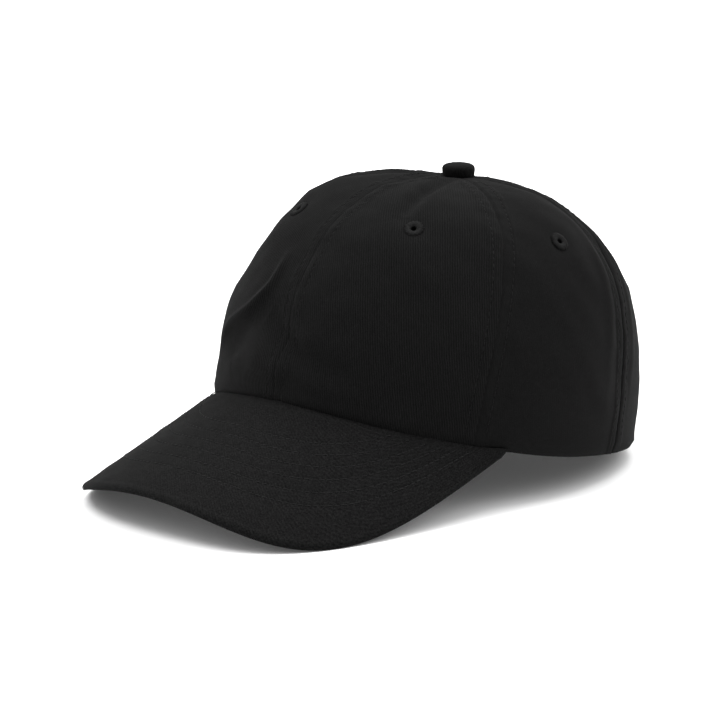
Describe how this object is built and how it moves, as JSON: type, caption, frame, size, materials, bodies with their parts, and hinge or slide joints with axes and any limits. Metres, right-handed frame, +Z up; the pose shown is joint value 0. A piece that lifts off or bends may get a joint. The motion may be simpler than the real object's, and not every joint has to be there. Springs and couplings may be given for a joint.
{
  "type": "baseball cap",
  "caption": "Soft-crown baseball cap of sewn twill panels with a curved stitched brim, covered top button, sewn eyelets, and a cloth strap with a flip-lever buckle at the back.",
  "frame": {"origin": "bottom centre of the bounding box, on the surface the cap stands on", "axes": "+Z up, +Y from the brim towards the back of the cap, +X towards the wearer's left"},
  "size_m": [0.182, 0.269, 0.1327],
  "materials": {
    "crown_twill": "cotton twill, washed, fine upright ribs",
    "brim_twill": "cotton twill, washed, ribs running slantwise",
    "brim_under_twill": "cotton twill",
    "button_twill": "cotton twill stretched over a shell",
    "strap_twill": "folded cotton twill with stitched edges",
    "eyelet_thread": "close satin stitching",
    "stitch_thread": "polyester sewing thread",
    "seam_tape": "plain woven cotton tape",
    "sweatband_cloth": "soft twill sweatband",
    "padding": "thin fleece padding",
    "label_cloth": "blank woven satin",
    "brim_board": "flexible plastic board",
    "button_metal": "plated",
    "buckle_metal": "dark nickel plating, satin"
  },
  "bodies": {
    "cap": {"front_left_panel": "crown_twill", "front_right_panel": "crown_twill", "side_left_panel": "crown_twill", "side_right_panel": "crown_twill", "rear_left_panel": "crown_twill", "rear_right_panel": "crown_twill", "eyelet_front_left": "eyelet_thread", "eyelet_front_right": "eyelet_thread", "eyelet_side_left": "eyelet_thread", "eyelet_side_right": "eyelet_thread", "eyelet_rear_left": "eyelet_thread", "eyelet_rear_right": "eyelet_thread", "centre_seam_tape": "seam_tape", "front_left_seam_tape": "seam_tape", "front_right_seam_tape": "seam_tape", "rear_left_seam_tape": "seam_tape", "rear_right_seam_tape": "seam_tape", "rear_arch_tape": "seam_tape", "crown_topstitching": "stitch_thread", "button_cover": "button_twill", "button_shell": "button_metal", "button_rivet": "button_metal", "button_back_washer": "button_metal", "brim_board": "brim_board", "brim_top_cover": "brim_twill", "brim_under_cover": "brim_under_twill", "brim_stitching": "stitch_thread", "sweatband_cover": "sweatband_cloth", "sweatband_padding": "padding", "inner_label": "label_cloth", "buckle_tab": "strap_twill", "buckle_frame": "buckle_metal", "buckle_pin": "buckle_metal"},
    "strap": {"adjusting_strap": "strap_twill"},
    "lever": {"buckle_lever": "buckle_metal"}
  },
  "joints": [
    {"name": "strap_adjust", "type": "hinge", "parent": "cap", "child": "strap", "pos_m": [0, 0.04693, 0.0297], "axis": [0, 0.2079, 0.9781], "range_deg": [-13, 13]},
    {"name": "lever_flip", "type": "hinge", "parent": "cap", "child": "lever", "pos_m": [0.00972, 0.13037, 0.01196], "axis": [0, 0.2079, 0.9781], "range_deg": [0, 100]}
  ]
}
